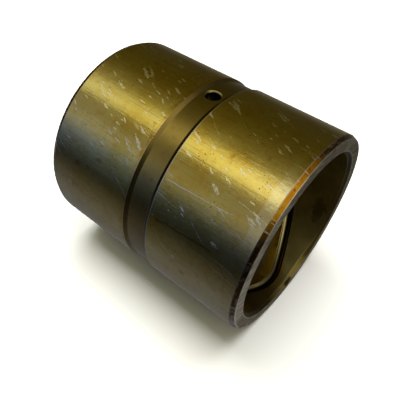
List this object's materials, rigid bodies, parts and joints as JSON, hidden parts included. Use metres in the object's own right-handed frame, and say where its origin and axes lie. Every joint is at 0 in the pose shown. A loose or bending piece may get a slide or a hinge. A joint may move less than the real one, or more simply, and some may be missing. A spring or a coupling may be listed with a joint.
{
  "type": "sleeve bushing",
  "caption": "Plain sleeve bushing with a grease groove round its outside, a radial grease hole and a figure-of-eight oil groove in the bore.",
  "frame": {"origin": "middle of the bore, at mid-length on the bushing's axis", "axes": "+X along the bushing's axis, out of the front end; +Z along the grease hole, outwards"},
  "size_m": [0.1, 0.09, 0.09],
  "materials": {
    "sleeve": "ground steel under a thin amber rust-preventive film"
  },
  "bodies": {
    "root": {"sleeve": "sleeve"}
  },
  "joints": []
}
